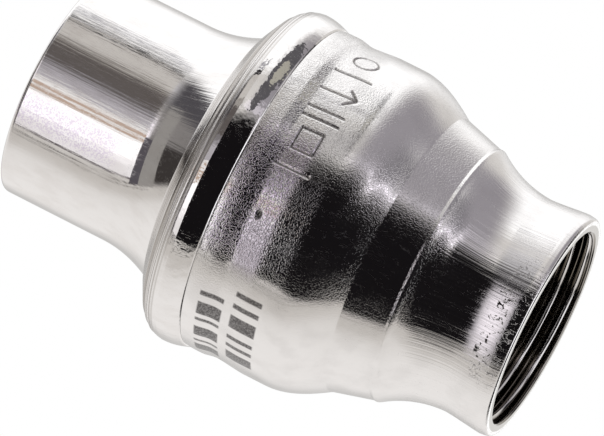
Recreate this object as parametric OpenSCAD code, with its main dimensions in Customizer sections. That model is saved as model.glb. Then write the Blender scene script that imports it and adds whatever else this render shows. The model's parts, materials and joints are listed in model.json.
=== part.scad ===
// In-line spring check valve with a pressed stainless steel body.
// Millimetres. Z is the flow axis: the inlet end face lies on Z = 0 and the flow leaves along +Z.
// Every outline below is a list of [radius, z] points that is turned about Z.

/* [Ends] */
// Distance between the two end faces
overall_len = 65; // [64:0.5:70]
// Outside diameter of both threaded necks
neck_od = 28.1; // [27.8:0.1:28.6]
// Bore of both threads at their crests, 24.12 for G 3/4
thread_bore_d = 24.12; // [23.9:0.02:24.4]
// Length of full thread in each neck
thread_len = 12.8; // [11:0.2:13]

/* [Body] */
// Outside diameter of the chamber
body_od = 41.2; // [40.8:0.1:41.6]
// Largest diameter, at the crest of the rolled bead
bead_od = 42.6; // [42.2:0.1:43.4]
// Sheet thickness around the chamber
wall = 1.6; // [1.4:0.1:1.7]

/* [Seat] */
// Bore that the flow passes at the seat
seat_bore_d = 19.6; // [18:0.2:20]
// Thickness of the seat ring's flange
seat_t = 1.4; // [1.2:0.1:1.5]
// Height of the raised sealing lip above the flange
seat_lip_h = 1; // [0.6:0.1:1.2]

/* [Poppet] */
// Travel of the poppet from closed to fully open
lift = 6.4; // [4:0.1:6.6]
// Diameter of the poppet's disc
disc_d = 26.4; // [24:0.2:28]
// Diameter of the stem where it slides in the guide
stem_d = 6; // [5:0.2:6]
// Diameter of the screw end that carries the nut
screw_d = 5; // [4:0.5:5]
// Width of the nut across its flats
nut_af = 8; // [7:0.5:9]

/* [Spring] */
// Wire diameter
wire_d = 0.9; // [0.7:0.05:1]
// Diameter of the coil, measured at the middle of the wire
coil_d = 12.8; // [12.4:0.2:14]
// Number of turns from end to end
turns = 6.5; // [4.5:0.5:6.5]

/* [Guide] */
// Number of arms that hold the guide's hub
arms = 4; // [3:1:6]
// Width of each arm
arm_w = 2.2; // [1.6:0.1:3]

/* [Hidden] */

$fn = 96;
touch = 0.05;        // radial clearance of a sliding or turning fit, and of a loose edge
edge = 0.3;          // broken edge on turned pieces
bend = 8;            // straight steps in each rounded stretch of an outline
bevel = 0.6;         // at the mouth of each thread
lip_round = 0.5;     // on the outer edge of each neck

neck_r = neck_od / 2;
bore_r = thread_bore_d / 2;
body_r = body_od / 2;
bead_r = bead_od / 2;
stem_r = stem_d / 2;
screw_r = screw_d / 2;
disc_r = disc_d / 2;

// Heights along the inlet shell, up from the inlet end face
z_flare = 13.2;      // the neck starts to widen
z_face = 21.3;       // outside face of the bead
z_crest = 25.2;      // widest point of the bead
z_lip = 28.1;        // edge of the rolled lip
z_inside = 22.9;     // inside face that the seal lies on

// Heights along the outlet shell, measured down from the outlet end face
z_shoulder = overall_len - 26.4;
z_crease = overall_len - 19.2;
z_step = overall_len - 13.7;
z_waist = overall_len - 5.2;
crease_r = body_r - 2.85;
step_r = body_r - 4.27;
waist_r = neck_r - 0.1;

// The stack that the rolled bead clamps: seal, seat ring, seal, outlet shell
seal_t = 1;
joint_seal_t = 0.8;
z_seat = z_inside + seal_t;
z_joint = z_seat + seat_t;
z_shell = z_joint + joint_seal_t;
joggle_t = 1.65;     // sheet thickness of the outlet shell's stepped-in end
seat_r = 19.2;
joggle_r = 19.75;    // outside of the outlet shell's stepped-in end
groove_r = 19.4;     // bottom of the groove that the lip is rolled into

// The poppet, closed. Its seal stands just clear of the seat.
z_seal = z_joint + seat_lip_h + 0.1;
rubber_t = 1.8;
disc_t = 1.5;
z_disc = z_seal + rubber_t;
z_cup = z_disc + disc_t + 0.1;
retainer_t = 0.9;
lock_t = 1;
nut_h = 2.7;
z_retainer = z_seal - retainer_t;
z_lock = z_retainer - lock_t;
z_nut = z_lock - nut_h;
stop_r = 4.5;        // thick part of the stem, whose end is the stop at full lift

// The guide, inside the cone between the crease and the step
z_guide = z_crease + 0.4;
guide_h = 3;
rim_gap = 0.03;
z_hub = z_guide - 1.5;
hub_h = 6.4;
hub_r = 5.6;
bush_r = 4.2;
flange_t = 0.6;      // the bush's flange under the hub
washer_t = 0.4;
z_washer = z_hub - flange_t - washer_t;
z_stop = z_washer - lift - 0.1;
stem_top = z_hub + hub_h + 1.5;

cup_t = 0.5;
spring_low = z_cup + cup_t + touch;
spring_high = z_washer - touch;

// Points on a Bezier curve from a to d that leaves towards b and arrives from c
function curve(a, b, c, d, n = bend) = [
    for (i = [0 : n])
        let (t = i / n, s = 1 - t)
            s * s * s * a + 3 * s * s * t * b + 3 * s * t * t * c + t * t * t * d
];

// Points on a circular arc about centre, from angle from to angle to
function arc(centre, r, from, to, n = bend) = [
    for (i = [0 : n])
        let (a = from + (to - from) * i / n)
            centre + r * [cos(a), sin(a)]
];

// Radius inside the outlet shell's cone at height z
function cone_in(z) =
    crease_r - wall + (step_r - crease_r) * (z - z_crease) / (z_step - z_crease);

module turned(outline) rotate_extrude() polygon(outline);

module ring(inner, outer, low, high)
    translate([0, 0, low])
        difference() {
            cylinder(r = outer, h = high - low);
            translate([0, 0, -1]) cylinder(r = inner, h = high - low + 2);
        }

// The threaded end of a neck: bored to a depth, with a bevelled mouth and a rounded outer lip
function mouth(depth) = [
    [bore_r, depth],
    [bore_r, bevel],
    [bore_r + bevel, 0],
    each arc([neck_r - lip_round, lip_round], lip_round, -90, 0, 4),
];

// An outline drawn up from the inlet end, turned over so that it runs down from the outlet end
function flipped(outline) = [
    for (i = [len(outline) - 1 : -1 : 0])
        [outline[i][0], overall_len - outline[i][1]]
];

module inlet_shell()
    color("#c9cacb")
        turned([
            each mouth(thread_len),
            each curve([neck_r, z_flare], [neck_r, z_flare + 3], [14.9, 18.6], [16.3, z_face - 0.1]),
            [16.6, z_face],
            [17.7, z_face + 0.15],
            [18.7, 22],
            each curve([19.8, 22.7], [20.4, 23.2], [bead_r, 24], [bead_r, z_crest]),
            each curve([bead_r, z_crest + 0.4], [bead_r, 26.4], [21, 27.4], [body_r + 0.12, z_lip - 0.1]),
            [body_r - 0.05, z_lip],
            [body_r - 0.25, z_lip],
            [groove_r + touch, z_lip - 0.5],
            [groove_r + touch, z_lip - 1.1],
            [joggle_r + touch, z_lip - 1.6],
            [joggle_r + touch, 24.3],
            [19.6, 24],
            [17.9, z_inside],
            [16, z_inside],
            each curve([15.7, 22.4], [14.6, 20.8], [13.4, 19], [12.9, 16.6], 6),
            [12.7, thread_len + 1.6],
        ]);

module outlet_shell()
    color("#c6c7c9")
        turned([
            [joggle_r - joggle_t, z_shell],
            [joggle_r - edge, z_shell],
            [joggle_r, z_shell + edge],
            [joggle_r, z_lip - 1.55],
            [groove_r, z_lip - 1.05],
            [groove_r, z_lip - 0.4],
            [body_r - 0.15, z_lip + 0.15],
            [body_r, z_lip + 0.35],
            each curve([body_r, z_shoulder], [body_r, z_shoulder + 2.6], [19.2, z_crease - 2.2],
                       [crease_r, z_crease]),
            each curve([step_r, z_step], [15.6, z_step + 1.1], [13.95, z_step + 3.7], [waist_r, z_waist]),
            each flipped(mouth(thread_len - 0.8)),
            each curve([12.7, z_step + 1.2], [13.2, z_step + 0.4], [14.2, z_step],
                       [cone_in(z_step - 0.6), z_step - 0.6], 5),
            each curve([cone_in(z_crease), z_crease], [17.7, z_crease - 2.2],
                       [body_r - wall, z_shoulder + 2.4], [body_r - wall, z_shoulder]),
            [body_r - wall, z_lip + 2],
            [joggle_r - joggle_t, z_lip + 0.6],
        ]);

// Flat seal between the inlet shell and the seat ring
module body_seal()
    color("#2a2a2c")
        ring(16.3, 17.9, z_inside, z_seat);

// Flat seal between the seat ring and the outlet shell
module joint_seal()
    color("#2a2a2c")
        ring(joggle_r - joggle_t + 0.1, joggle_r - 0.1, z_joint, z_shell);

module seat_ring()
    color("#bfc1c4")
        turned([
            [seat_bore_d / 2, z_seat + 0.8],
            [seat_bore_d / 2 + 0.8, z_seat],
            [seat_r - edge, z_seat],
            [seat_r, z_seat + edge],
            [seat_r, z_joint],
            [seat_bore_d / 2 + 2.6, z_joint],
            [seat_bore_d / 2 + 1.5, z_joint + seat_lip_h - 0.4],
            each arc([seat_bore_d / 2 + 0.8, z_joint + seat_lip_h - 0.4], 0.4, 60, 150, 4),
            [seat_bore_d / 2, z_joint],
        ]);

// Rim, arms and hub in one piece. The spring's load holds the rim in the cone.
module guide_spider() {
    rim_in = cone_in(z_guide + guide_h) - 1.3;
    color("#b9bbbe")
        difference() {
            union() {
                turned([
                    [cone_in(z_guide) - 1.3, z_guide],
                    [cone_in(z_guide) - rim_gap, z_guide],
                    [cone_in(z_guide + guide_h) - rim_gap, z_guide + guide_h],
                    [rim_in, z_guide + guide_h],
                ]);
                for (i = [0 : arms - 1])
                    rotate([0, 0, 360 / arms * i])
                        translate([bush_r + 0.6, -arm_w / 2, z_guide + 0.5])
                            cube([rim_in - bush_r, arm_w, guide_h - 1]);
                turned([
                    [bush_r - 1, z_hub],
                    [hub_r - edge, z_hub],
                    [hub_r, z_hub + edge],
                    [hub_r, z_hub + hub_h - 0.8],
                    [hub_r - 0.8, z_hub + hub_h],
                    [bush_r - 1, z_hub + hub_h],
                ]);
            }
            translate([0, 0, z_hub - 1]) cylinder(r = bush_r + touch, h = hub_h + 2);
        }
}

module guide_bush()
    color("#e9e6dc")
        turned([
            [stem_r + touch, z_hub - flange_t],
            [hub_r, z_hub - flange_t],
            [hub_r, z_hub],
            [bush_r, z_hub],
            [bush_r, z_hub + hub_h],
            [stem_r + touch, z_hub + hub_h],
        ]);

module spring_washer()
    color("#b0b2b5")
        ring(stem_r + 0.3, coil_d / 2 + 1.4, z_washer, z_washer + washer_t);

// The stem end of the coil rests in this cup, which is free to turn on the stem
module spring_cup()
    color("#b0b2b5")
        turned([
            [stop_r + touch, z_cup],
            [coil_d / 2 + 2.2, z_cup],
            [coil_d / 2 + 2.2, z_cup + 1.6],
            [coil_d / 2 + 1.7, z_cup + 1.6],
            [coil_d / 2 + 1.7, z_cup + cup_t],
            [stop_r + touch, z_cup + cup_t],
        ]);

// Height of the wire's middle after a share s of the turns: one closed turn at each end
function coil_z(s) =
    let (
        n = turns * s,
        open = turns - 2,
        closed_rise = wire_d + 0.05,
        rise = (spring_high - spring_low - wire_d - 2 * closed_rise) / open
    )
        spring_low + wire_d / 2
            + closed_rise * (min(n, 1) + max(n - turns + 1, 0))
            + rise * max(min(n - 1, open), 0);

module spring() {
    sides = 10;
    rings = round(turns * 24);
    points = [
        for (i = [0 : rings])
            for (j = [0 : sides - 1])
                let (
                    s = i / rings,
                    a = 360 * turns * s,
                    b = 360 * j / sides,
                    r = coil_d / 2 + wire_d / 2 * cos(b)
                )
                    [r * cos(a), r * sin(a), coil_z(s) + wire_d / 2 * sin(b)]
    ];
    side_faces = [
        for (i = [0 : rings - 1])
            for (j = [0 : sides - 1])
                let (k = (j + 1) % sides)
                    [i * sides + j, (i + 1) * sides + j, (i + 1) * sides + k, i * sides + k]
    ];
    start_cap = [for (j = [0 : sides - 1]) j];
    end_cap = [for (j = [sides - 1 : -1 : 0]) rings * sides + j];
    color("#d0d2d4")
        polyhedron(points, concat(side_faces, [start_cap], [end_cap]), convexity = 8);
}

module poppet_disc()
    color("#c4c6c9")
        turned([
            [screw_r + touch, z_disc],
            [disc_r - 0.5, z_disc],
            each arc([disc_r - 0.75, z_disc + disc_t / 2], disc_t / 2, -60, 60, 4),
            [disc_r - 2, z_disc + disc_t],
            [screw_r + touch, z_disc + disc_t],
        ]);

module poppet_seal()
    color("#1f1f21")
        turned([
            [screw_r + touch, z_seal],
            [12, z_seal],
            [12.4, z_seal + 0.4],
            [12.4, z_disc],
            [screw_r + touch, z_disc],
        ]);

module seal_retainer()
    color("#b9bbbe")
        turned([
            [screw_r + touch, z_retainer],
            [8.2, z_retainer],
            [8.6, z_retainer + 0.4],
            [8.6, z_seal],
            [screw_r + touch, z_seal],
        ]);

module poppet_stem()
    color("#c4c6c9")
        turned([
            [0, z_nut - 0.9],
            [screw_r - 0.6, z_nut - 0.9],
            [screw_r, z_nut - 0.3],
            [screw_r, z_disc + disc_t],
            [stop_r, z_disc + disc_t],
            [stop_r, z_stop - edge],
            [stop_r - edge, z_stop],
            [stem_r, z_stop],
            [stem_r, stem_top - 0.6],
            [stem_r - 0.6, stem_top],
            [0, stem_top],
        ]);

// Split ring, one helical turn flattened by the nut
module lock_washer()
    color("#a9abae")
        difference() {
            ring(screw_r + touch, 4.2, z_lock, z_retainer);
            translate([screw_r - 1, -0.4, z_lock - 1]) cube([6, 0.8, lock_t + 2]);
        }

module stem_nut()
    color("#c4c6c9")
        difference() {
            intersection() {
                translate([0, 0, z_nut]) cylinder(d = nut_af / cos(30), h = nut_h, $fn = 6);
                turned([
                    [0, z_nut],
                    [nut_af / 2, z_nut],
                    [nut_af / 2 / cos(30), z_nut + 0.5],
                    [nut_af / 2 / cos(30), z_lock - 0.5],
                    [nut_af / 2, z_lock],
                    [0, z_lock],
                ]);
            }
            translate([0, 0, z_nut - 1]) cylinder(r = screw_r + touch, h = nut_h + 2);
        }

inlet_shell();
outlet_shell();
seat_ring();
body_seal();
joint_seal();
guide_spider();
guide_bush();
spring_washer();
spring();
spring_cup();
poppet_disc();
poppet_seal();
seal_retainer();
poppet_stem();
lock_washer();
stem_nut();
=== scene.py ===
"""Visual model of an in-line spring check valve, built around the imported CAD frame.

Lengths in this script are millimetres, and become metres where a mesh or the camera is made. Z is
the flow axis. A turned piece is an outline of (radius, height) points that is swept about Z.
"""

import json
import math

import bmesh
import bpy
import numpy as np
from mathutils import Matrix, Vector


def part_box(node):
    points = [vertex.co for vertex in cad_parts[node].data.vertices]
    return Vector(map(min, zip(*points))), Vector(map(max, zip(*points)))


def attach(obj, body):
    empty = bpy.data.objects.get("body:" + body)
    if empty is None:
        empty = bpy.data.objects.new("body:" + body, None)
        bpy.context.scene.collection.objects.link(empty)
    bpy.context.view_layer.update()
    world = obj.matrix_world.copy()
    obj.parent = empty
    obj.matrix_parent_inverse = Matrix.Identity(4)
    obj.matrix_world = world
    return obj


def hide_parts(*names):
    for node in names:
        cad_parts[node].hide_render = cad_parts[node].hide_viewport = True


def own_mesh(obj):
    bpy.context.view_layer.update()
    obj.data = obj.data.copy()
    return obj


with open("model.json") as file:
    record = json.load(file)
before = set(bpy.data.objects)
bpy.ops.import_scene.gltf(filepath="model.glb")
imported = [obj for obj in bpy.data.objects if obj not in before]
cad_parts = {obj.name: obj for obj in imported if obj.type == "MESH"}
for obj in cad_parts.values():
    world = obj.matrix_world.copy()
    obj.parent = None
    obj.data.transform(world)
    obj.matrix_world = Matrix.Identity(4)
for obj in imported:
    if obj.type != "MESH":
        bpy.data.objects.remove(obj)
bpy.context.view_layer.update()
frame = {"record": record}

MM = 0.001


# --- Dimensions, read from the frame ------------------------------------------------------------

def low(node):
    """Lowest height of a CAD node."""
    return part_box(node)[0].z / MM


def high(node):
    """Highest point of a CAD node."""
    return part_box(node)[1].z / MM


def span(node):
    return low(node), high(node)


def radius(node):
    """Outside radius of a turned CAD node."""
    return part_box(node)[1].x / MM


MOUNTS = {m["name"]: m for m in frame["record"]["mounts"]}
LENGTH = high("outlet_shell")
NECK_R = MOUNTS["inlet_collar"]["dims"]["r_mm"]
BORE_R = MOUNTS["inlet_thread"]["dims"]["r_mm"]
BODY_R = radius("outlet_shell")
BEAD_R = radius("inlet_shell")
LIP_Z = high("inlet_shell")

# Sheet metal
CREST_Z = LIP_Z - 2.9
FACE_Z = LIP_Z - 6.8
INSIDE_Z = low("body_seal")
SHOULDER_Z = LENGTH - 26.4
CREASE_Z = LENGTH - 19.2
STEP_Z = LENGTH - 13.7
CREASE_R = BODY_R - 2.85
STEP_R = BODY_R - 4.27
WALL = 1.6
JOGGLE_R = 19.75
GROOVE_R = 19.4

# Pipe thread, right-handed
PITCH = 1.814
THREAD_DEPTH = 1.05
THREAD_LEN = 12.8

# The screw end of the stem, and the hole in the pieces that it holds together
SCREW_R = 2.5
HOLE_R = 2.55


# --- Outlines -----------------------------------------------------------------------------------

def curve(a, b, c, d, n=24):
    """Points on a Bezier curve from a to d that leaves towards b and arrives from c."""
    points = []
    for i in range(n + 1):
        t = i / n
        s = 1 - t
        w = (s ** 3, 3 * s * s * t, 3 * s * t * t, t ** 3)
        points.append(tuple(sum(k * p[axis] for k, p in zip(w, (a, b, c, d))) for axis in (0, 1)))
    return points


def rounded(corners, step=0.35, support=0.1):
    """A closed outline through the corners. A corner is (r, z) or (r, z, fillet radius)."""
    loop = []
    count = len(corners)
    for i, corner in enumerate(corners):
        here = Vector(corner[:2])
        before = Vector(corners[i - 1][:2]) - here
        after = Vector(corners[(i + 1) % count][:2]) - here
        fillet = corner[2] if len(corner) > 2 else 0
        if fillet <= 0 or before.length < 1e-6 or after.length < 1e-6:
            loop.append((here, False))
            continue
        turn = math.pi - before.angle(after)
        reach = min(fillet * math.tan(turn / 2), before.length * 0.49, after.length * 0.49)
        start = here + before.normalized() * reach
        end = here + after.normalized() * reach
        steps = max(3, round(math.degrees(turn) / 14))
        for k in range(steps + 1):
            t = k / steps
            blend = (1 - t) ** 2 * start + 2 * t * (1 - t) * here + t * t * end
            loop.append((blend, k in (0, steps)))
    outline = []
    for (a, a_round), (b, b_round) in zip(loop, loop[1:] + loop[:1]):
        outline.append(a)
        gap = (b - a).length
        if gap < step:
            continue
        inner_a = a + (b - a) * (support / gap) if a_round else a
        inner_b = b - (b - a) * (support / gap) if b_round else b
        if a_round:
            outline.append(inner_a)
        pieces = max(1, math.ceil((inner_b - inner_a).length / step))
        outline.extend(inner_a + (inner_b - inner_a) * (k / pieces) for k in range(1, pieces))
        if b_round:
            outline.append(inner_b)
    return np.array([(p.x, p.y) for p in outline])


def neck_mouth(end_z, way):
    """The threaded end of a neck: bore, bevel, end face and rounded lip. way is +1 at the inlet."""
    return [
        (BORE_R, end_z + way * THREAD_LEN, 0.3),
        (BORE_R, end_z + way * 0.55, 0.12),
        (BORE_R + 0.5, end_z, 0.15),
        (NECK_R, end_z, 0.55),
    ]


def inlet_outline():
    flare = curve((NECK_R, 13.2), (NECK_R, 16.2), (14.9, 18.6), (16.25, FACE_Z - 0.15))
    corner = curve((19.8, 22.7), (20.4, 23.2), (BEAD_R, 24.0), (BEAD_R, CREST_Z), 36)
    lip = curve((BEAD_R, CREST_Z), (BEAD_R, 26.5), (21.0, 27.25), (BODY_R + 0.14, LIP_Z - 0.12))
    bell = curve((15.7, 22.4), (14.6, 20.8), (13.4, 19), (12.9, 16.6), 12)
    ripple, ripple_pitch = 0.07, 0.62        # the rolls leave ripples on the bead's corner
    rolled = []
    for before, (r, z), after in zip(corner, corner[1:-1], corner[2:]):
        along = Vector(after) - Vector(before)
        outward = Vector((along.y, -along.x)).normalized()
        wave = ripple * math.sin(2 * math.pi * (z - FACE_Z) / ripple_pitch) * (z < CREST_Z - 1.2)
        rolled.append((r + wave * outward.x - 0.03, z + wave * outward.y))
    return rounded([
        *neck_mouth(0, 1),
        *flare,
        (16.5, FACE_Z, 0.2),
        (17.7, FACE_Z + 0.15, 0.5),
        (18.75, FACE_Z + 0.75),
        *rolled,
        *lip,
        (BODY_R - 0.02, LIP_Z, 0.06),
        (BODY_R - 0.25, LIP_Z, 0.08),
        (GROOVE_R + 0.05, LIP_Z - 0.5, 0.1),
        (GROOVE_R + 0.05, LIP_Z - 1.1, 0.1),
        (JOGGLE_R + 0.05, LIP_Z - 1.6, 0.1),
        (JOGGLE_R + 0.05, 24.3, 0.3),
        (19.6, 24.0),
        (17.9, INSIDE_Z, 0.4),
        (16.0, INSIDE_Z, 0.3),
        *bell,
        (12.7, THREAD_LEN + 1.6, 0.4),
    ])


def outlet_outline():
    shoulder = curve((BODY_R, SHOULDER_Z), (BODY_R, SHOULDER_Z + 2.6), (19.2, CREASE_Z - 2.2),
                     (CREASE_R, CREASE_Z))
    neck = curve((STEP_R, STEP_Z + 0.1), (15.6, STEP_Z + 1.1), (13.95, STEP_Z + 3.7),
                 (NECK_R - 0.3, LENGTH - 6.2))
    ledge = curve((NECK_R - 0.3, LENGTH - 6.0), (NECK_R - 0.3, LENGTH - 5.0),
                  (NECK_R + 0.08, LENGTH - 2.4), (NECK_R + 0.15, LENGTH - 1.2), 12)
    waist = curve((BODY_R - 0.06, LIP_Z + 0.1), (BODY_R - 0.02, LIP_Z + 0.6),
                  (BODY_R, LIP_Z + 1.0), (BODY_R - 0.01, LIP_Z + 2.0), 10)
    waist += curve((BODY_R - 0.01, LIP_Z + 2.0), (BODY_R - 0.05, LIP_Z + 2.7),
                   (BODY_R - 0.32, LIP_Z + 3.2), (BODY_R - 0.3, LIP_Z + 4.0), 8)[1:]
    waist += curve((BODY_R - 0.3, LIP_Z + 4.0), (BODY_R - 0.27, LIP_Z + 4.8), (BODY_R, LIP_Z + 6.9),
                   (BODY_R, LIP_Z + 7.6), 16)[1:]
    slope = (STEP_R - CREASE_R) / (STEP_Z - CREASE_Z)
    cone_end = (STEP_R - WALL - 0.6 * slope, STEP_Z - 0.6)
    hollow = curve((CREASE_R - WALL, CREASE_Z), (17.7, CREASE_Z - 2.2),
                   (BODY_R - WALL, SHOULDER_Z + 2.4), (BODY_R - WALL, SHOULDER_Z), 10)
    throat = curve((12.7, STEP_Z + 1.2), (13.2, STEP_Z + 0.4), (14.2, STEP_Z), cone_end, 6)
    start = low("outlet_shell")
    return rounded([
        (JOGGLE_R - 1.65, start, 0.1),
        (JOGGLE_R, start, 0.3),
        (JOGGLE_R, LIP_Z - 1.55, 0.1),
        (GROOVE_R, LIP_Z - 1.05, 0.1),
        (GROOVE_R, LIP_Z - 0.4, 0.1),
        (BODY_R - 0.25, LIP_Z + 0.012),
        (BODY_R - 0.05, LIP_Z + 0.015, 0.02),
        *waist,
        *shoulder[:-1],
        (CREASE_R, CREASE_Z, 0.35),
        (STEP_R + 0.02, STEP_Z - 0.42, 0.08),
        (STEP_R + 0.05, STEP_Z - 0.08, 0.08),
        (STEP_R + 0.03, STEP_Z, 0.08),
        *neck[1:],
        *ledge,
        *reversed(neck_mouth(LENGTH, -1)),
        *throat,
        *hollow,
        (BODY_R - WALL, LIP_Z + 2, 0.5),
        (JOGGLE_R - 1.65, LIP_Z + 0.6, 0.5),
    ])


# --- Mesh building ------------------------------------------------------------------------------

def placed(name, data):
    """A new object in the scene."""
    item = bpy.data.objects.new(name, data)
    bpy.context.scene.collection.objects.link(item)
    return item


def face_outwards(mesh):
    bm = bmesh.new()
    bm.from_mesh(mesh)
    bmesh.ops.recalc_face_normals(bm, faces=bm.faces)
    bm.to_mesh(mesh)
    bm.free()


def tube_faces(rings, sides):
    """Faces of a capped tube whose vertices are rings of sides points, one ring after another."""
    end = (rings - 1) * sides
    faces = [list(range(sides))[::-1], [end + k for k in range(sides)]]
    for i in range(rings - 1):
        for k in range(sides):
            a, b = i * sides + k, i * sides + (k + 1) % sides
            faces.append([a, b, b + sides, a + sides])
    return faces


def mesh_piece(name, verts, faces, body, node, material, attributes=None, sharp=None):
    """One closed piece that stands for a CAD node and rides on its body."""
    mesh = bpy.data.meshes.new(name)
    mesh.from_pydata([tuple(v) for v in np.asarray(verts) * MM], [], faces)
    for label, values in (attributes or {}).items():
        layer = mesh.attributes.new(label, "FLOAT", "POINT")
        layer.data.foreach_set("value", np.asarray(values, np.float32).ravel())
    face_outwards(mesh)
    mesh.shade_smooth()
    if sharp is not None:
        mesh.set_sharp_from_angle(angle=math.radians(sharp))
    mesh.materials.append(material)
    piece = placed(name, mesh)
    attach(piece, body)
    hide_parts(node)
    return piece


def even_angles(count):
    return np.arange(count) * (2 * math.pi / count)


def sweep(outline, angles, shape=None):
    """Vertices and faces of an outline turned about Z. shape(phi, r, z) returns the moved r, z."""
    r = np.broadcast_to(outline[None, :, 0], (len(angles), len(outline)))
    z = np.broadcast_to(outline[None, :, 1], r.shape)
    phi = np.broadcast_to(angles[:, None], r.shape)
    if shape is not None:
        r, z = shape(phi, r, z)
    on_axis = outline[:, 0] < 1e-6
    verts = []
    index = np.zeros(r.shape, int)
    for j in range(len(outline)):
        if on_axis[j]:
            index[:, j] = len(verts)
            verts.append((0.0, 0.0, z[0, j]))
            continue
        index[:, j] = len(verts) + np.arange(len(angles))
        verts.extend(zip(r[:, j] * np.cos(phi[:, j]), r[:, j] * np.sin(phi[:, j]), z[:, j]))
    faces = []
    columns, rows = index.shape
    for i in range(columns):
        a, b = index[i], index[(i + 1) % columns]
        for j in range(rows):
            k = (j + 1) % rows
            if on_axis[j] and on_axis[k]:
                continue
            quad = [a[j], b[j], b[k], a[k]]
            faces.append([q for n, q in enumerate(quad) if q != quad[n - 1]])
    return verts, faces, index


def fade(value, start, end):
    """0 before start, 1 after end, smooth between."""
    t = np.clip((value - start) / (end - start), 0, 1)
    return t * t * (3 - 2 * t)


def thread_form(phi, z, pitch):
    """0 at a thread's crest and 1 at its root: straight flanks, a round crest and a flatter root."""
    turn = (z / pitch - phi / (2 * math.pi)) % 1.0
    flank = 1.45 * (0.5 - np.abs(2 * turn - 1)) + 0.5
    crest, root = 0.36, 0.08
    rise = 0.5 * (flank + np.sqrt(flank ** 2 + crest ** 2))
    over = 1 - rise
    return 1 - 0.5 * (over + np.sqrt(over ** 2 + root ** 2))


def pipe_thread(end_z, way):
    """Shape function that cuts the pipe thread into a neck's bore."""
    def shape(phi, r, z):
        depth_in = way * (z - end_z)
        inside = (r < BORE_R + 0.52) & (depth_in < THREAD_LEN + 0.2)
        cut = fade(depth_in, 0.05, 0.5) * (1 - fade(depth_in, THREAD_LEN - 1.6, THREAD_LEN))
        wall = BORE_R + THREAD_DEPTH * thread_form(phi, z, PITCH) * cut
        return np.where(inside, np.maximum(r, wall), r), z
    return shape


def refine(outline, chosen, gap):
    """Adds points to an outline where chosen(r, z) says so, no further apart than gap."""
    out = []
    for p, q in zip(outline, np.roll(outline, -1, axis=0)):
        out.append(p)
        length = np.hypot(*(q - p))
        if length > gap and chosen(*((p + q) / 2)):
            pieces = math.ceil(length / gap)
            out.extend(p + (q - p) * (k / pieces) for k in range(1, pieces))
    return np.array(out)


def in_thread(end_z, way):
    return lambda r, z: r < BORE_R + 0.5 and 0 < way * (z - end_z) < THREAD_LEN


# --- Materials ----------------------------------------------------------------------------------

class Tree:
    """A small helper that writes a node tree."""

    def __init__(self, tree):
        self.tree = tree

    def add(self, kind, **settings):
        node = self.tree.nodes.new(kind)
        for key, value in settings.items():
            setattr(node, key, value)
        return node

    def join(self, source, target):
        """Links a socket, or sets a plain value."""
        if isinstance(source, (int, float, tuple)):
            target.default_value = source
        else:
            self.tree.links.new(source, target)

    def math(self, operation, a, b=0.0, c=0.0, clamp=False):
        node = self.add("ShaderNodeMath", operation=operation, use_clamp=clamp)
        for value, socket in zip((a, b, c), node.inputs):
            self.join(value, socket)
        return node.outputs[0]

    def times(self, a, b):
        return self.math("MULTIPLY", a, b)

    def split(self, vector):
        """The x, y and z of a vector."""
        node = self.add("ShaderNodeSeparateXYZ")
        self.join(vector, node.inputs[0])
        return node.outputs

    def ramp(self, value, start, end, low_value=0.0, high_value=1.0):
        node = self.add("ShaderNodeMapRange", interpolation_type="SMOOTHSTEP")
        self.join(value, node.inputs["Value"])
        for key, number in (("From Min", start), ("From Max", end), ("To Min", low_value),
                            ("To Max", high_value)):
            node.inputs[key].default_value = number
        return node.outputs[0]

    def band(self, value, start, end, soft=0.2):
        """1 between start and end, 0 outside."""
        up = self.ramp(value, start - soft, start + soft)
        down = self.ramp(value, end - soft, end + soft, 1.0, 0.0)
        return self.times(up, down)

    def mix(self, share, a, b):
        node = self.add("ShaderNodeMix", data_type="RGBA")
        self.join(share, node.inputs[0])
        self.join(a, node.inputs[6])
        self.join(b, node.inputs[7])
        return node.outputs[2]

    def axis_turn(self, x, y):
        """Degrees round from -Y towards +X."""
        turn = self.math("ARCTAN2", x, self.times(y, -1.0))
        return self.times(turn, 180 / math.pi)


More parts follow.
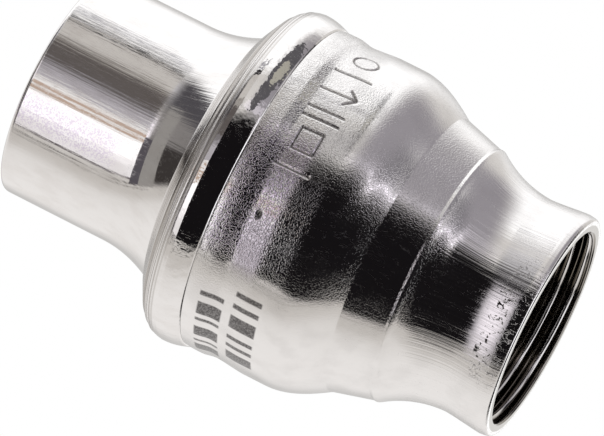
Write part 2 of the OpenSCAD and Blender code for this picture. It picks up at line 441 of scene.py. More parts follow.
class Nodes(Tree):
    """The node tree of a new material, with its coordinates in mm."""

    def __init__(self, name):
        self.material = bpy.data.materials.new(name)
        self.material.use_nodes = True
        super().__init__(self.material.node_tree)
        self.shader = self.tree.nodes["Principled BSDF"]
        self.place = self.add("ShaderNodeTexCoord").outputs["Object"]

    def surface(self, name, value):
        """Gives one of the shader's inputs a plain value or a socket."""
        self.join(value, self.shader.inputs[name])

    def stretch(self, x, y, z):
        """Object coordinates in mm, scaled along each axis."""
        node = self.add("ShaderNodeVectorMath", operation="MULTIPLY")
        self.join(self.place, node.inputs[0])
        node.inputs[1].default_value = (x / MM, y / MM, z / MM)
        return node.outputs[0]

    def height(self):
        """Height above the inlet face, in mm."""
        return self.math("DIVIDE", self.split(self.place)[2], MM)

    def distance(self):
        """Distance from the flow axis, in mm."""
        size = self.add("ShaderNodeVectorMath", operation="LENGTH")
        self.join(self.stretch(1, 1, 0), size.inputs[0])
        return size.outputs["Value"]

    def noise(self, vector, scale=1.0, detail=2.0, roughness=0.5, distortion=0.0):
        node = self.add("ShaderNodeTexNoise")
        self.join(vector, node.inputs["Vector"])
        node.inputs["Scale"].default_value = scale
        node.inputs["Detail"].default_value = detail
        node.inputs["Roughness"].default_value = roughness
        node.inputs["Distortion"].default_value = distortion
        return node.outputs[0]

    def cloud(self, scale, detail):
        """Noise that is alike along each axis."""
        return self.noise(self.stretch(scale, scale, scale), 1.0, detail)

    def rings(self):
        """Coordinates that are the same all round the axis, for turning marks."""
        node = self.add("ShaderNodeCombineXYZ")
        self.join(self.distance(), node.inputs[0])
        self.join(self.height(), node.inputs[1])
        return node.outputs[0]

    def bump(self, height, distance, strength=1.0, under=None):
        node = self.add("ShaderNodeBump")
        self.join(height, node.inputs["Height"])
        node.inputs["Distance"].default_value = distance * MM
        self.join(strength, node.inputs["Strength"])
        if under is not None:
            self.join(under, node.inputs["Normal"])
        return node.outputs[0]

    def attribute(self, name):
        return self.add("ShaderNodeAttribute", attribute_name=name).outputs["Fac"]

    def blend(self, share, a, b):
        """a where share is 0, b where it is 1, for plain numbers."""
        node = self.add("ShaderNodeMix", data_type="FLOAT")
        for value, socket in zip((share, a, b), (node.inputs[0], node.inputs[2], node.inputs[3])):
            self.join(value, socket)
        return node.outputs[0]

    def around(self, across, along):
        """Coordinates that keep their scale round the axis at any radius, for lines along it."""
        unit = self.add("ShaderNodeVectorMath", operation="NORMALIZE")
        self.join(self.stretch(1, 1, 0), unit.inputs[0])
        both = self.add("ShaderNodeVectorMath", operation="MULTIPLY_ADD")
        self.join(unit.outputs[0], both.inputs[0])
        both.inputs[1].default_value = (NECK_R * across,) * 3
        self.join(self.stretch(0, 0, along), both.inputs[2])
        return both.outputs[0]

    def scratches(self, scale):
        """Sparse short scratches, 1 on a scratch."""
        warp = self.noise(self.stretch(scale, scale, scale * 0.25), 1.0, 2.0, 0.5, 1.5)
        return self.band(warp, 0.595, 0.605, 0.005)

    def pits(self, scale):
        """Small ragged pits, 1 inside a pit."""
        ragged = self.noise(self.stretch(scale, scale, scale * 0.7), 1.0, 3.0, 0.6, 1.2)
        return self.ramp(ragged, 0.58, 0.63)

    def angle(self):
        """Degrees round from -Y towards +X."""
        x, y, _ = self.split(self.place)
        return self.axis_turn(x, y)

    def etching(self):
        """Two rows of plain laser-etched bars on the chamber, 1 on a bar."""
        angle, z = self.angle(), self.height()
        total = 0.0
        for bottom, top, edges in ETCHED_ROWS:
            row = self.band(z, bottom, top, 0.12)
            bars = 0.0
            for left, right in edges:
                bars = self.math("ADD", bars, self.band(angle, left, right, 0.35))
            total = self.math("ADD", total, self.times(row, bars), clamp=True)
        return total


# Height range of each etched row and the angles that its bars span, in degrees
ETCHED_ROWS = [
    (LIP_Z + 1.8, LIP_Z + 4.8, [(42, 44), (47, 53), (55, 56.5), (60, 66), (69, 70.5), (73, 79)]),
    (LIP_Z + 6.0, LIP_Z + 9.4, [(36, 38), (41, 43), (46, 52), (56, 58), (61, 63), (66, 72)]),
]


def plain_steel(name, colour, roughness, ring_depth=0.002, grain_depth=0.0, line_depth=0.0):
    """Bare steel with turning rings, cast grain or drawn lines."""
    n = Nodes(name)
    n.surface("Metallic", 1.0)
    patch = n.cloud(0.35, 3.0)
    dark = tuple(c * 0.82 for c in colour) + (1.0,)
    n.surface("Base Color", n.mix(n.ramp(patch, 0.35, 0.65), dark, (*colour, 1.0)))
    spread = n.cloud(1.4, 4.0)
    n.surface("Roughness", n.ramp(spread, 0.3, 0.7, roughness * 0.75, roughness * 1.3))
    normal = n.bump(n.noise(n.rings(), 9.0, 3.0, 0.7), ring_depth)
    if grain_depth:
        normal = n.bump(n.cloud(4, 3.0), grain_depth, under=normal)
    if line_depth:
        normal = n.bump(n.noise(n.stretch(9, 9, 0.3), 1.0, 2.0), line_depth, under=normal)
    n.surface("Normal", normal)
    return n.material


def inlet_steel():
    """Drawn stainless sheet: a brushed neck and flare, a scratched corner and a polished bead."""
    n = Nodes("inlet_sheet")
    n.surface("Metallic", 1.0)
    z = n.height()
    lines = n.noise(n.around(4.4, 0.14), 1.0, 2.5, 0.6)
    bead = n.band(z, CREST_Z - 0.6, LIP_Z + 0.5, 0.25)
    corner = n.band(z, FACE_Z - 0.1, CREST_Z - 0.6, 0.25)
    blotch = n.noise(n.stretch(0.5, 0.5, 0.25), 1.0, 4.0)
    drawn_side = n.ramp(n.angle(), 1.2, 3.0, 1.0, 0.25)
    rough = n.times(n.ramp(lines, 0.3, 0.75, 0.06, 0.18), drawn_side)
    rough = n.math("ADD", rough, n.ramp(blotch, 0.45, 0.75, 0.0, 0.05))
    rings = n.noise(n.rings(), 7.0, 3.0, 0.7)
    rough = n.blend(corner, rough, n.ramp(rings, 0.35, 0.65, 0.10, 0.30))
    nicks = n.scratches(2.2)
    polished = n.math("ADD", 0.045, n.times(nicks, 0.22))
    rough = n.blend(bead, rough, polished)
    n.surface("Roughness", rough)
    brushed = n.math("SUBTRACT", 1.0, n.math("MAXIMUM", bead, corner))
    normal = n.bump(lines, 0.017, n.times(brushed, drawn_side))
    normal = n.bump(rings, 0.02, corner, normal)
    normal = n.bump(n.cloud(0.9, 2.0), 0.04, bead, normal)
    normal = n.bump(nicks, -0.001, 1.0, normal)
    n.surface("Normal", normal)
    tint = n.mix(n.ramp(blotch, 0.4, 0.7), (0.80, 0.785, 0.775, 1), (0.75, 0.73, 0.715, 1))
    # Painted reflection: violet glints of reflected light are put into the neck's base colour, on
    # one side only.
    painted_violet_glints = n.ramp(n.cloud(4.6, 1.5), 0.42, 0.62)
    painted_violet_glints = n.times(painted_violet_glints, n.band(n.angle(), 10, 25, 3))
    painted_violet_glints = n.times(painted_violet_glints, n.band(z, -1, 13, 1.5))
    tint = n.mix(painted_violet_glints, tint, (0.64, 0.585, 0.66, 1))
    streaks = n.times(corner, n.ramp(n.noise(n.rings(), 3.2, 3.0, 0.7), 0.42, 0.58))
    tint = n.mix(streaks, tint, (0.40, 0.375, 0.35, 1))
    n.surface("Base Color", tint)
    return n.material


def outlet_steel():
    """Drawn stainless sheet: a grained chamber and cone, and a neck with fine lines along it."""
    n = Nodes("outlet_sheet")
    n.surface("Metallic", 1.0)
    z = n.height()
    grain = n.ramp(n.cloud(5.4, 1.5), 0.38, 0.60)
    lines = n.noise(n.around(5.2, 0.04), 1.0, 2.0, 0.6)
    on_neck = n.ramp(z, STEP_Z + 1.0, STEP_Z + 3.5)
    patch = n.cloud(0.3, 3.0)
    in_bore = n.ramp(n.distance(), BORE_R + 1.25, BORE_R + 1.35, 1.0, 0.0)
    open_skin = n.math("SUBTRACT", 1.0, in_bore)
    nicks = n.times(n.scratches(1.1), open_skin)
    rough = n.ramp(patch, 0.4, 0.7, 0.10, 0.17)
    rough = n.times(rough, n.ramp(n.angle(), 20, 28, 1.0, 0.6))
    rough = n.blend(on_neck, rough, n.ramp(lines, 0.38, 0.68, 0.07, 0.22))
    rough = n.math("ADD", rough, n.times(nicks, 0.2))
    n.surface("Roughness", n.blend(in_bore, rough, n.ramp(patch, 0.3, 0.7, 0.06, 0.12)))
    on_neck = n.math("SUBTRACT", on_neck, in_bore, clamp=True)
    grained = n.math("SUBTRACT", 1.0, n.math("MAXIMUM", on_neck, in_bore))
    chamber = n.band(z, LIP_Z + 0.4, LIP_Z + 7.6, 0.8)
    coarse = n.blend(chamber, 0.32, 1.0)
    coarse = n.times(coarse, n.ramp(n.angle(), 22, 29, 1.0, 0.3))
    normal = n.bump(grain, 0.021, n.times(grained, coarse))
    normal = n.bump(lines, 0.03, on_neck, normal)
    near_end = n.band(z, LENGTH - 3.6, LENGTH - 0.6, 0.5)
    near_end = n.times(near_end, n.band(n.angle(), -20, 32, 12))
    pits = n.times(n.times(n.pits(1.9), near_end), open_skin)
    normal = n.bump(pits, -0.10, 1.0, normal)
    n.surface("Normal", normal)
    wear_and_painted_light = n.mix(n.ramp(patch, 0.4, 0.7), (0.80, 0.785, 0.775, 1), (0.74, 0.725, 0.715, 1))
    # Painted reflection: violet glints on the grain highlights of the chamber, on one side only.
    violet = n.times(chamber, n.band(n.angle(), -20, 25, 5))
    violet = n.times(violet, n.ramp(grain, 0.2, 0.8))
    wear_and_painted_light = n.mix(violet, wear_and_painted_light, (0.82, 0.74, 0.86, 1))
    # Painted shade: a darker patch on one side of the chamber dims what it reflects there.
    painted_shade_patch = n.times(n.band(z, LIP_Z + 4.2, LIP_Z + 7.4, 0.6), n.band(n.angle(), 9, 28, 5))
    wear_and_painted_light = n.mix(painted_shade_patch, wear_and_painted_light, (0.56, 0.52, 0.57, 1))
    # Painted shade: the stamped grooves and the punched dot are darkened in the base colour.
    marks_and_painted_shade = n.mix(n.attribute("stamp"), wear_and_painted_light, (0.22, 0.21, 0.20, 1))
    marks_and_painted_shade = n.mix(pits, marks_and_painted_shade, (0.05, 0.045, 0.045, 1))
    # Painted shade: the bore's thread roots are darkened brown, the crests kept light.
    painted_root_shade = n.mix(n.ramp(n.distance(), BORE_R + 0.1, BORE_R + 0.5), (0.8, 0.785, 0.775, 1),
                 (0.22, 0.20, 0.17, 1))
    marks_and_painted_shade = n.mix(in_bore, marks_and_painted_shade, painted_root_shade)
    etched = n.mix(n.times(n.etching(), n.ramp(grain, 0.2, 0.8, 0.75, 0.95)), marks_and_painted_shade,
                   (0.07, 0.065, 0.065, 1))
    n.surface("Base Color", etched)
    return n.material


def soft_matter(name, colour, roughness):
    """Moulded rubber or machined plastic with a faint mottle."""
    n = Nodes(name)
    mottle = n.cloud(1.2, 4.0)
    pale = tuple(min(1.0, c * 1.25 + 0.01) for c in colour) + (1.0,)
    n.surface("Base Color", n.mix(n.ramp(mottle, 0.35, 0.7), (*colour, 1.0), pale))
    n.surface("Roughness", n.ramp(mottle, 0.3, 0.7, roughness * 0.85, roughness * 1.1))
    n.surface("Normal", n.bump(n.cloud(7, 3.0), 0.01))
    return n.material


# --- Marks on the chamber -----------------------------------------------------------------------

# The chamber's side is marked with plain shapes only. A mark is a list of strokes, each a line
# between two (around, along) points in mm from the mark's middle.

def circle_mark(size):
    points = [(size * math.cos(a), size * math.sin(a)) for a in np.linspace(0, 2 * math.pi, 17)]
    return list(zip(points, points[1:]))


def square_mark(half):
    points = [(-half, -half), (half, -half), (half, half), (-half, half), (-half, -half)]
    return list(zip(points, points[1:]))


def bar_mark(offsets, half):
    return [((x, -half), (x, half)) for x in offsets]


def arrow_mark(half, barb):
    return [((0, -half), (0, half)), ((-barb, half - barb), (0, half)),
            ((barb, half - barb), (0, half))]


STAMPS = [circle_mark(1.5), bar_mark([0], 2.3), arrow_mark(2.3, 1.2), bar_mark([-0.7, 0.7], 2.3),
          square_mark(1.4), bar_mark([0], 2.3)]
STAMP_START = -62           # degrees from the marked side's middle
STAMP_STEP = 10.6
MARKED_FROM, MARKED_TO = STAMP_START - 8, 13        # the columns stand closer between these
STAMP_Z = SHOULDER_Z - 4.5
STAMP_DEPTH = 0.16
STAMP_WIDTH = 0.24
DOT_ANGLE, DOT_Z = 8.6, SHOULDER_Z - 5.5        # the punched dot
DOT_HALF_WIDTH, DOT_FLATTENED = 0.7, 1.8
DOT_DEPTH = 1.6             # in stamp depths


def stamp_depth(angle, z):
    """How deep the marks go at each (angle, z), in stamp depths."""
    nearest = np.full(angle.shape, np.inf)
    for i, strokes in enumerate(STAMPS):
        around = np.radians(angle - STAMP_START - i * STAMP_STEP) * BODY_R
        along = z - STAMP_Z
        for (ax, ay), (bx, by) in strokes:
            length2 = (bx - ax) ** 2 + (by - ay) ** 2
            t = np.clip(((around - ax) * (bx - ax) + (along - ay) * (by - ay)) / length2, 0, 1)
            gap = np.hypot(around - ax - t * (bx - ax), along - ay - t * (by - ay))
            nearest = np.minimum(nearest, gap)
    cut = 1 - fade(nearest, 0.2 * STAMP_WIDTH, 0.75 * STAMP_WIDTH)
    around = np.radians(angle - DOT_ANGLE) * BODY_R
    reach = np.hypot(around, (z - DOT_Z) * DOT_FLATTENED)
    return np.maximum(cut, DOT_DEPTH * (1 - fade(reach, 0.2, DOT_HALF_WIDTH)))


# --- Shells -------------------------------------------------------------------------------------

def facing(phi):
    """Degrees round from the side that carries the marks, which faces -Y."""
    return (np.degrees(phi) + 90 + 180) % 360 - 180


def build_inlet_shell():
    outline = refine(inlet_outline(), in_thread(0, 1), PITCH / 16)
    verts, faces, _ = sweep(outline, even_angles(236), pipe_thread(0, 1))
    mesh_piece("inlet_sheet", verts, faces, "valve_body", "inlet_shell",
               inlet_steel())


def build_outlet_shell():
    def marked(r, z):
        return r > BODY_R - 0.4 and STAMP_Z - 3.2 < z < STAMP_Z + 3.2

    outline = refine(outlet_outline(), in_thread(LENGTH, -1), PITCH / 16)
    outline = refine(outline, marked, 0.11)
    fine = np.arange(MARKED_FROM, MARKED_TO, 0.45)
    coarse = np.linspace(MARKED_TO, MARKED_FROM + 360, 141)[:-1]
    angles = np.radians(np.concatenate([fine, coarse]) - 90)
    cut_thread = pipe_thread(LENGTH, -1)

    def shape(phi, r, z):
        r, z = cut_thread(phi, r, z)
        outside = (r > BODY_R - 0.4) & (z > LIP_Z + 1)
        return r - np.where(outside, STAMP_DEPTH * stamp_depth(facing(phi), z), 0), z

    verts, faces, _ = sweep(outline, angles, shape)
    x, y, z = np.array(verts).T
    outside = (np.hypot(x, y) > BODY_R - 0.6) & (z > LIP_Z + 1)
    # The stamp depth is also kept per vertex. There it darkens the grooves as painted shade.
    marks = np.where(outside, stamp_depth(facing(np.arctan2(y, x)), z), 0)
    mesh_piece("outlet_sheet", verts, faces, "valve_body", "outlet_shell",
               outlet_steel(), {"stamp": marks})


# --- Pieces inside the shells -------------------------------------------------------------------

def turned_piece(name, corners, body, node, material, columns=160, step=1.2, shape=None):
    verts, faces, _ = sweep(rounded(corners, step, 0.06), even_angles(columns), shape)
    return mesh_piece(name, verts, faces, body, node, material)


def washer_corners(inner, outer, bottom, top, soft):
    return [(inner, bottom, soft), (outer, bottom, soft), (outer, top, soft), (inner, top, soft)]


def washer_piece(name, inner, outer, soft, node, material):
    """A flat ring that rides on the valve's body, as tall as its CAD node."""
    turned_piece(name, washer_corners(inner, outer, *span(node), soft), "valve_body",
                 node, material)


def build_joint():
    """The seat ring and the two seals that the rolled bead clamps."""
    rubber = soft_matter("nitrile", (0.018, 0.018, 0.019), 0.5)
    ring_steel = plain_steel("seat_steel", (0.6, 0.59, 0.58), 0.2, 0.006)
    washer_piece("flat_seal", 16.3, 17.9, 0.15, "body_seal", rubber)
    washer_piece("rim_seal", 18.2, 19.65, 0.15, "joint_seal", rubber)
    base, flange, crest = low("seat_ring"), low("joint_seal"), high("seat_ring")
    bore = 9.8
    turned_piece("seat", [
        (bore, base + 0.8, 0.3),
        (bore + 0.8, base, 0.3),
        (radius("seat_ring"), base, 0.3),
        (radius("seat_ring"), flange, 0.1),
        (bore + 2.6, flange, 0.5),
        (bore + 1.4, crest - 0.3, 0.2),
        (bore + 0.9, crest, 0.25),
        (bore + 0.45, crest - 0.2, 0.2),
        (bore, flange, 0.4),
    ], "valve_body", "seat_ring", ring_steel, 200)


def build_spider():
    """The cast guide: a rim in the outlet cone, arms and a hub, with soft fillets between them."""
    rim_low = CREASE_Z + 0.4
    rim_high = rim_low + 3
    bore = 4.26
    taper = (STEP_R - CREASE_R) / (STEP_Z - CREASE_Z)

    def cone(z):
        return CREASE_R - WALL + taper * (z - CREASE_Z) - 0.02

    rim = [(cone(rim_high) - 1.3, rim_low), (cone(rim_low), rim_low), (cone(rim_high), rim_high),
           (cone(rim_high) - 1.3, rim_high)]
    base, top = span("guide_spider")
    hub = [(bore, base), (5.6, base), (5.6, top - 0.8), (4.8, top), (bore, top)]
    verts, faces = [], []

    def include(more_verts, more_faces):
        start = len(verts)
        verts.extend(tuple(v) for v in more_verts)
        faces.extend([i + start for i in face] for face in more_faces)

    for corners in (rim, hub):
        more_verts, more_faces, _ = sweep(np.array(corners), even_angles(180))
        include(more_verts, more_faces)
    inner, outer, half_wide, half_tall = 4.9, cone(rim_high) - 0.6, 1.15, 1.05
    middle = (rim_low + rim_high) / 2
    box_faces = [(0, 1, 3, 2), (4, 6, 7, 5), (0, 4, 5, 1), (2, 3, 7, 6), (0, 2, 6, 4), (1, 5, 7, 3)]
    for quarter in range(4):
        turn = Matrix.Rotation(math.radians(90 * quarter), 3, "Z")
        corners = [turn @ Vector((x, y, middle + z)) for x in (inner, outer)
                   for y in (-half_wide, half_wide) for z in (-half_tall, half_tall)]
        include(corners, box_faces)
    mesh = bpy.data.meshes.new("spider_parts")
    mesh.from_pydata(verts, [], faces)
    rough = placed("spider_parts", mesh)
    face_outwards(mesh)
    remesh = rough.modifiers.new("skin", "REMESH")
    remesh.mode = "VOXEL"
    remesh.voxel_size = 0.24
    soften = rough.modifiers.new("soften", "SMOOTH")
    soften.factor = 0.5
    soften.iterations = 7
    view = bpy.context.evaluated_depsgraph_get()
    skin = bpy.data.meshes.new_from_object(rough.evaluated_get(view))
    bpy.data.objects.remove(rough)
    cast_verts = np.array([v.co for v in skin.vertices])
    cast_faces = [tuple(p.vertices) for p in skin.polygons]
    bpy.data.meshes.remove(skin)
    mesh_piece("spider", cast_verts, cast_faces, "valve_body", "guide_spider",
               plain_steel("cast_steel", (0.55, 0.54, 0.53), 0.34, 0.0, grain_depth=0.03))


def build_guide():
    """The bush in the spider's hub and the washer that the spring bears on."""
    base, top = span("guide_bush")
    flange = low("guide_spider")
    turned_piece("bush", [
        (3.05, base, 0.2),
        (5.6, base, 0.15),
        (5.6, flange, 0.12),
        (4.2, flange, 0.1),
        (4.2, top, 0.15),
        (3.05, top, 0.2),
    ], "valve_body", "guide_bush", soft_matter("acetal", (0.78, 0.77, 0.73), 0.35))
    washer_piece("bearing_washer", 3.3, radius("spring_washer"), 0.12, "spring_washer",
                 plain_steel("washer_steel", (0.58, 0.57, 0.56), 0.22, 0.004))


def build_spring():
    """Closed coil spring with ground ends."""
    wire, coil, turns = 0.45, radius("spring") - 0.45, 6.5
    bottom, top = span("spring")
    sides = 18
    closed_rise = 2 * wire + 0.05
    open_rise = (top - bottom - 2 * wire - 2 * closed_rise) / (turns - 2)
    steps = np.linspace(0, turns, int(turns * 72) + 1)
    middle = (bottom + wire + closed_rise * np.clip(steps, 0, 1)
              + open_rise * np.clip(steps - 1, 0, turns - 2)
              + closed_rise * np.clip(steps - turns + 1, 0, 1))
    grind = 0.5 * wire
    middle += grind * (np.clip(steps - turns + 1, 0, 1) - np.clip(1 - steps, 0, 1))
    verts = []
    for turn, z in zip(steps, middle):
        angle = 2 * math.pi * turn
        for k in range(sides):
            around = 2 * math.pi * k / sides
            r = coil + wire * math.cos(around)
            height = min(max(z + wire * math.sin(around), bottom), top)
            verts.append((r * math.cos(angle), r * math.sin(angle), height))
    steel = plain_steel("spring_wire", (0.5, 0.5, 0.51), 0.2, 0.0, line_depth=0.004)
    spring = mesh_piece("coil", verts, tube_faces(len(steps), sides), "valve_body", "spring",
                        steel)
    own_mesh(spring)


def screw_thread(pitch, depth, limit_r, start_z, end_z):
    """Shape function that cuts a thread into a rod."""
    def shape(phi, r, z):
        on_side = np.abs(r - limit_r) < 1e-3
        cut = fade(z, start_z, start_z + pitch) * (1 - fade(z, end_z - pitch, end_z))
        return np.where(on_side, r - depth * thread_form(phi, z, pitch) * cut, r), z
    return shape


def build_poppet():
    """Everything that moves on the stem."""
    rubber = soft_matter("poppet_nitrile", (0.015, 0.015, 0.016), 0.45)
    bright = plain_steel("turned_steel", (0.6, 0.6, 0.59), 0.18, 0.006)
    base, top = span("poppet_disc")
    rim = radius("poppet_disc")
    turned_piece("disc", [
        (HOLE_R, base, 0.1),
        (rim - 0.4, base, 0.3),
        (rim, base + 0.6, 0.4),
        (rim, top - 0.5, 0.4),
        (rim - 0.5, top, 0.3),
        (rim - 2.2, top, 0.5),
        (rim - 2.6, top - 0.25, 0.2),
        (9.4, top - 0.25, 0.2),
        (9.1, top, 0.15),
        (HOLE_R, top, 0.1),
    ], "poppet", "poppet_disc", bright, 200)
    base, top = span("poppet_seal")
    turned_piece("disc_seal", [
        (HOLE_R, base, 0.1),
        (8.7, base, 0.1),
        (9.1, base + 0.12, 0.2),
        (12.0, base + 0.12, 0.3),
        (12.4, base + 0.5, 0.3),
        (12.4, top, 0.1),
        (HOLE_R, top, 0.1),
    ], "poppet", "poppet_seal", rubber, 200)
    base, top = span("seal_retainer")
    turned_piece("retainer", [
        (HOLE_R, base, 0.1),
        (8.1, base, 0.25),
        (8.6, base + 0.45, 0.3),
        (8.6, top, 0.1),
        (HOLE_R, top, 0.1),
    ], "poppet", "seal_retainer", bright, 160)
    build_cup()
    build_stem()
    build_lock_washer()
    build_nut(bright)


def build_cup():
    (base, top), rim = span("spring_cup"), radius("spring_cup")
    turned_piece("pressed_cup", [
        (4.55, base, 0.1),
        (rim, base, 0.55),
        (rim, top, 0.15),
        (rim - 0.5, top, 0.15),
        (rim - 0.5, base + 0.5, 0.3),
        (4.55, base + 0.5, 0.1),
    ], "spring_follower", "spring_cup",
        plain_steel("cup_steel", (0.57, 0.56, 0.55), 0.22, 0.004), 160)


def build_stem():
    base, top = span("poppet_stem")
    shoulder = high("poppet_disc")
    stop = low("spring_washer") - 6.5
    rounded_stem = rounded([
        (0, base),
        (1.9, base, 0.2),
        (SCREW_R, base + 0.6, 0.15),
        (SCREW_R, shoulder, 0.1),
        (4.5, shoulder, 0.1),
        (4.5, stop, 0.3),
        (3.0, stop, 0.2),
        (3.0, top - 0.6, 0.25),
        (2.4, top, 0.25),
        (0, top),
    ], 0.5, 0.06)

    def on_screw(r, z):
        return abs(r - SCREW_R) < 0.01 and z < shoulder - 0.5

    outline = refine(rounded_stem, on_screw, 0.08)
    # Of the points on the axis only the two ends stay, because no face passes through the rest
    outline = outline[(outline[:, 0] > 1e-6) | (outline[:, 1] == base) | (outline[:, 1] == top)]
    cut_thread = screw_thread(pitch=0.8, depth=0.42, limit_r=SCREW_R, start_z=base + 0.4, end_z=28)
    verts, faces, _ = sweep(outline, even_angles(72), cut_thread)
    mesh_piece("stem", verts, faces, "poppet", "poppet_stem",
               plain_steel("stem_steel", (0.6, 0.6, 0.6), 0.12, 0.003))


def build_lock_washer():
    """A split ring, with its two ends standing slightly apart."""
    (base, top), outer = span("lock_washer"), radius("lock_washer")
    section = rounded(washer_corners(HOLE_R, outer, base, top, 0.12), 1.0, 0.05)
    half_gap = 0.4 / outer
    angles = np.linspace(half_gap, 2 * math.pi - half_gap, 91)
    lean = 0.16
    verts = []
    for angle in angles:
        share = (angle - math.pi) / math.pi
        for r, z in section:
            slant = lean * share * (top - base) * (0.5 - abs((z - base) / (top - base) - 0.5))
            verts.append((r * math.cos(angle + 0.12 * (z - base)),
                          r * math.sin(angle + 0.12 * (z - base)), z + slant))
    faces = tube_faces(len(angles), len(section))
    mesh_piece("split_washer", verts, faces, "poppet", "lock_washer",
               plain_steel("lock_steel", (0.5, 0.5, 0.5), 0.28, 0.0, grain_depth=0.01))


def build_nut(steel):
    """Hexagon nut, with its corners turned off at both ends."""
    base, top = span("stem_nut")
    flat = 4.0
    corner = flat / math.cos(math.pi / 6)
    bevel_from = 0.96 * flat
    outline = np.array([(2.6, top - 0.5), (2.6, base + 0.5), (3.0, base), (bevel_from, base)]
                       + [(corner, base + (top - base) * k / 12) for k in range(13)]
                       + [(bevel_from, top), (3.0, top)])

    def shape(phi, r, z):
        from_flat = (phi + math.pi / 6) % (math.pi / 3) - math.pi / 6
        edge = np.minimum(flat / np.cos(from_flat), corner - 0.06)
        drop = (edge - bevel_from) * math.tan(math.radians(30))
        share = (z - base) / (top - base)
        wall = r > corner - 1e-6
        return (np.where(wall, edge, r),
                np.where(wall, base + drop + share * (top - base - 2 * drop), z))

    verts, faces, _ = sweep(outline, even_angles(180), shape)
    mesh_piece("nut", verts, faces, "poppet", "stem_nut", steel, sharp=28)


# --- Camera, light and floor --------------------------------------------------------------------

def studio():
    scene = bpy.context.scene
    tilt = math.radians(12.2)        # the camera looks down on the upright valve by this much
    roll = math.radians(26.8)        # and is rolled so that the valve lies, sloping to the right
    side = Vector((1, 0, 0))
    up = Vector((0, math.sin(tilt), math.cos(tilt)))
    back = Vector((0, -math.cos(tilt), math.sin(tilt)))
    right = -math.sin(roll) * side + math.cos(roll) * up
    above = -math.cos(roll) * side - math.sin(roll) * up
    aim = Vector((1.2, 0, LENGTH * 0.514)) * MM
    lens, distance = 400.0, 785.2 * MM
    camera = placed("camera", bpy.data.cameras.new("camera"))
    camera.data.lens = lens
    camera.data.clip_start = 0.01
    camera.data.clip_end = 10
    turned = Matrix((right, above, back)).transposed()
    camera.matrix_world = Matrix.Translation(aim + back * distance) @ turned.to_4x4()
    scene.camera = camera
    scene.view_settings.view_transform = "Standard"


# Panels of light and dark that the steel reflects: angles in degrees round from -Y towards +X,
# then angles above the horizon, then how soft the edges are, then the light. Later ones cover.
PANELS = [
    (-185, 185, -90, 90, 1, (0.78, 0.755, 0.73)),         # pale room
    (85, 200, -90, 40, 25, (0.98, 0.96, 0.945)),          # lighter to the right
    (57, 76, -90, 90, 8, (0.66, 0.63, 0.60)),             # and darker beside the dark room
    (60, 61.2, -50, 60, 0.5, (0.16, 0.15, 0.145)),        # with two thin dark lines
    (64, 64.8, -50, 60, 0.4, (0.22, 0.21, 0.20)),         # the second of them
    (-185, -70, -90, 3, 8, (1.35, 1.35, 1.36)),           # white table on the left
    (-125, -38, 4, 90, 9, (0.36, 0.34, 0.37)),            # grey wall
    (-125, -84, 37, 48, 5, (0.70, 0.68, 0.69)),           # with two pale patches high up
    (-125, -46, 49, 57, 2, (0.80, 0.78, 0.79)),           # the upper of them
    (-84, -46, 34, 48, 6, (0.24, 0.23, 0.25)),            # and a dark patch beside the lower
    (150, 210, -60, 2, 14, (0.62, 0.61, 0.60)),           # soft grey behind
    (-210, -150, -60, 2, 14, (0.62, 0.61, 0.60)),         # the same, where the angle wraps
    (-185, 185, 60, 64, 2, (0.02, 0.02, 0.022)),          # dark edge of the ceiling
    (-185, 185, 64, 100, 2, (1.35, 1.35, 1.4)),           # and the lamp in its middle
    (168, 192, 2, 24, 3, (1.3, 1.3, 1.3)),                # window behind
    (-192, -168, 2, 24, 3, (1.3, 1.3, 1.3)),              # the same, wrapped
    (120, 240, 30, 74, 5, (0.02, 0.02, 0.022)),           # dark wall above the window
    (-240, -120, 30, 74, 5, (0.02, 0.02, 0.022)),         # the same, wrapped
    (-62, 57, -90, -34, 5, (0.26, 0.245, 0.24)),          # table in front
    (-72, -30, -90, -36, 7, (0.09, 0.085, 0.095)),        # with a dark cloth on its left
    (8, 58, -90, -50, 6, (0.05, 0.044, 0.042)),           # and a darker one on its right
    (-60, -40, -36, -14, 7, (0.66, 0.65, 0.68)),          # grey box on the table
    (-40, -28, -36, -14, 5, (0.25, 0.24, 0.25)),          # the shaded side of the box
    (-80, -75, -34, -10, 1.5, (0.40, 0.39, 0.42)),        # thin post left of it
]
DARK_LEFT, DARK_RIGHT = -37, 57           # the dark room behind the camera
DARK_LEAN = 0.12                          # its edges spread by this much per degree of rise
DARK_BOTTOM, DARK_CORNER, DARK_TOP = -30, 48, 72
NOTCH_RISE, NOTCH_DEPTH = (35, 41, 5), 15
PALE_LEFT, PALE_RIGHT = -14, 53           # the pale sheet on the table, below the dark
PALE_BOTTOM, PALE_TOP = -36, -21
DARK = (0.008, 0.007, 0.008)
EDGE_LIGHT = (2.0, 1.9, 2.1)              # along the dark room's left side
PALE = (1.28, 1.21, 1.29)


